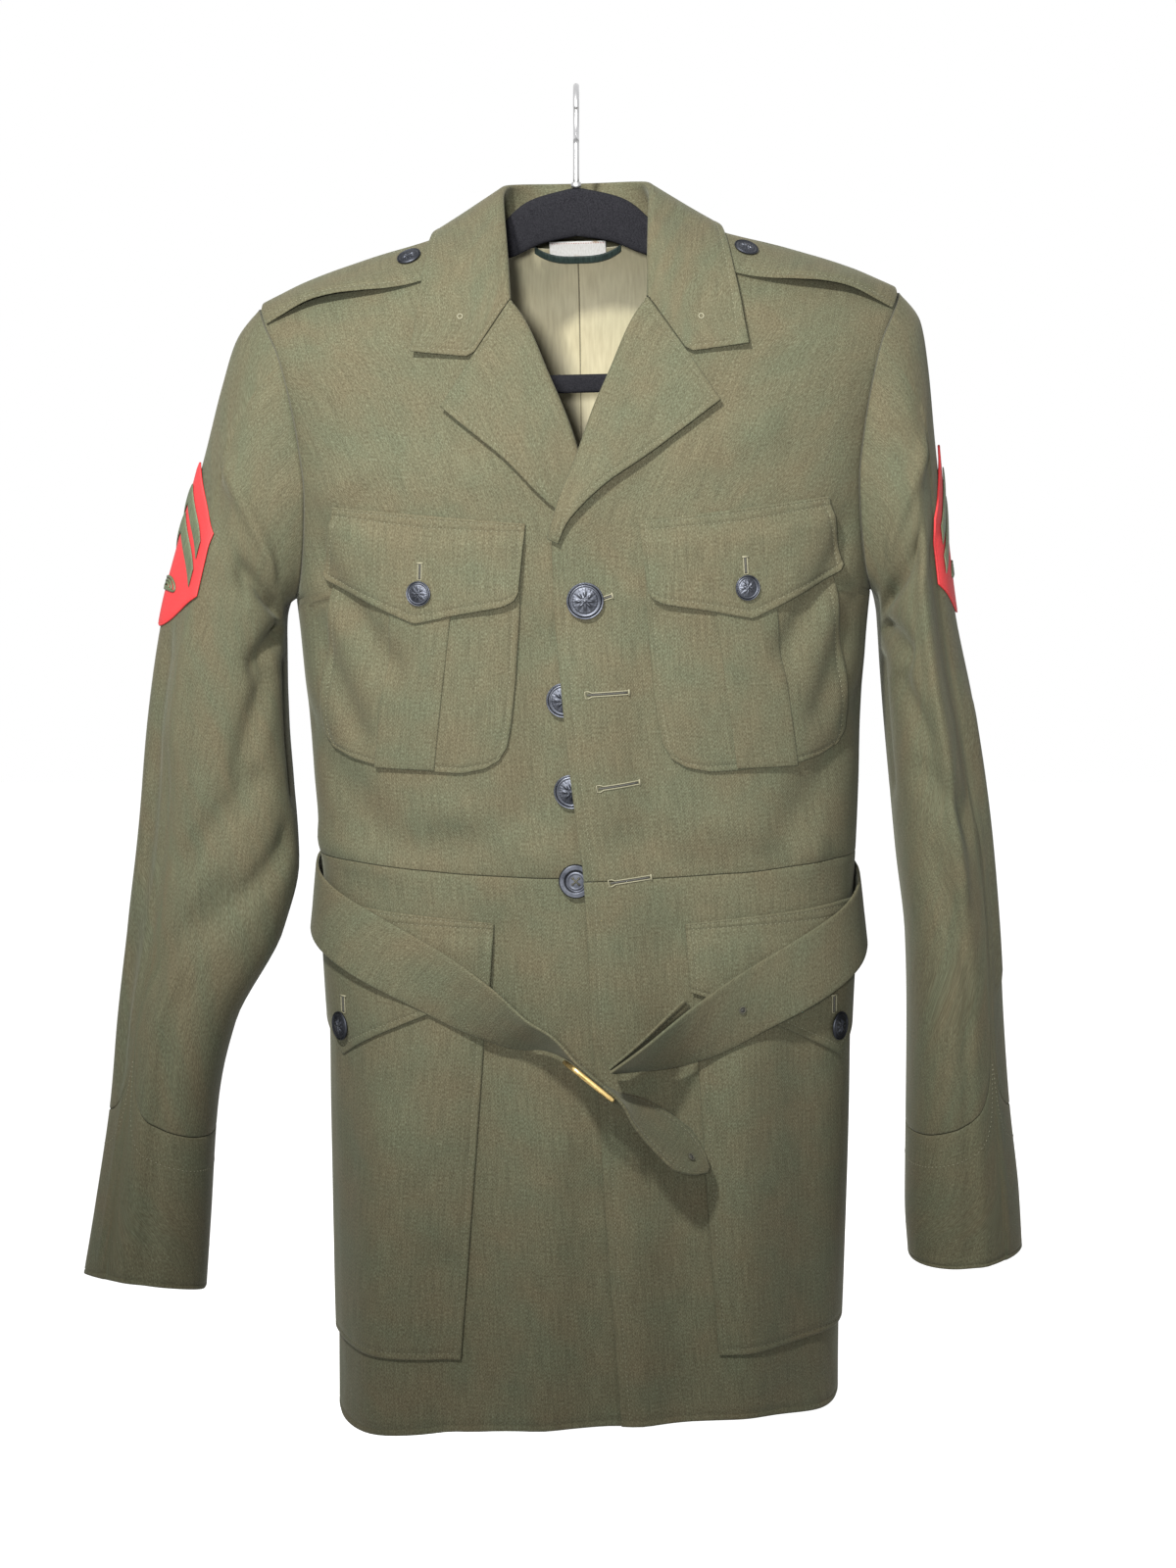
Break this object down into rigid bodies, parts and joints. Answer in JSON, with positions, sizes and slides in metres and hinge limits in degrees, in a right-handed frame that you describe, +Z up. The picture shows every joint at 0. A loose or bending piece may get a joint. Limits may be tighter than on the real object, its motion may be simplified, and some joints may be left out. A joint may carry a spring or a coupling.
{
  "type": "military dress jacket on a clothes hanger",
  "caption": "Olive wool military dress jacket, belted, with flap pockets, shoulder straps and sleeve chevron patches, hanging on a slim black clothes hanger.",
  "frame": {"origin": "inside top of the hanger's hook, where it rests on a rail", "axes": "+Z up; the jacket's front faces -Y; +X is to the viewer's right, the wearer's left"},
  "size_m": [0.6504, 0.2548, 0.9093],
  "materials": {
    "wool": "matt heathered olive wool twill",
    "lining_cloth": "soft tan satin lining",
    "label_cloth": "blank white woven label",
    "loop_tape": "dark green tape",
    "patch_cloth": "scarlet felt with an overlocked border",
    "chevron_thread": "green embroidery",
    "button_metal": "dark oxidised, semi-matt, raised design",
    "buckle_brass": "polished",
    "hanger_flock": "black flocked",
    "hanger_steel": "bright wire"
  },
  "bodies": {
    "root": {"front_upper_left": "wool", "front_skirt_left": "wool", "back_upper_left": "wool", "back_skirt_left": "wool", "lapel_left": "wool", "chest_pocket_left": "wool", "chest_flap_left": "wool", "hip_pocket_left": "wool", "hip_flap_left": "wool", "shoulder_strap_left": "wool", "sleeve_left": "wool", "cuff_left": "wool", "patch_left": "patch_cloth", "chevron_1_left": "chevron_thread", "chevron_2_left": "chevron_thread", "chest_button_left": "button_metal", "hip_button_left": "button_metal", "strap_button_left": "button_metal", "lining_left": "lining_cloth", "front_upper_right": "wool", "front_skirt_right": "wool", "back_upper_right": "wool", "back_skirt_right": "wool", "lapel_right": "wool", "chest_pocket_right": "wool", "chest_flap_right": "wool", "hip_pocket_right": "wool", "hip_flap_right": "wool", "shoulder_strap_right": "wool", "sleeve_right": "wool", "cuff_right": "wool", "patch_right": "patch_cloth", "chevron_1_right": "chevron_thread", "chevron_2_right": "chevron_thread", "chest_button_right": "button_metal", "hip_button_right": "button_metal", "strap_button_right": "button_metal", "lining_right": "lining_cloth", "collar": "wool", "belt": "wool", "belt_tongue": "wool", "belt_turnback": "wool", "belt_buckle": "buckle_brass", "front_button_1": "button_metal", "front_button_2": "button_metal", "front_button_3": "button_metal", "front_button_4": "button_metal", "neck_label": "label_cloth", "hanging_loop": "loop_tape", "hanger_frame": "hanger_flock", "hanger_hook": "hanger_steel"}
  },
  "joints": []
}
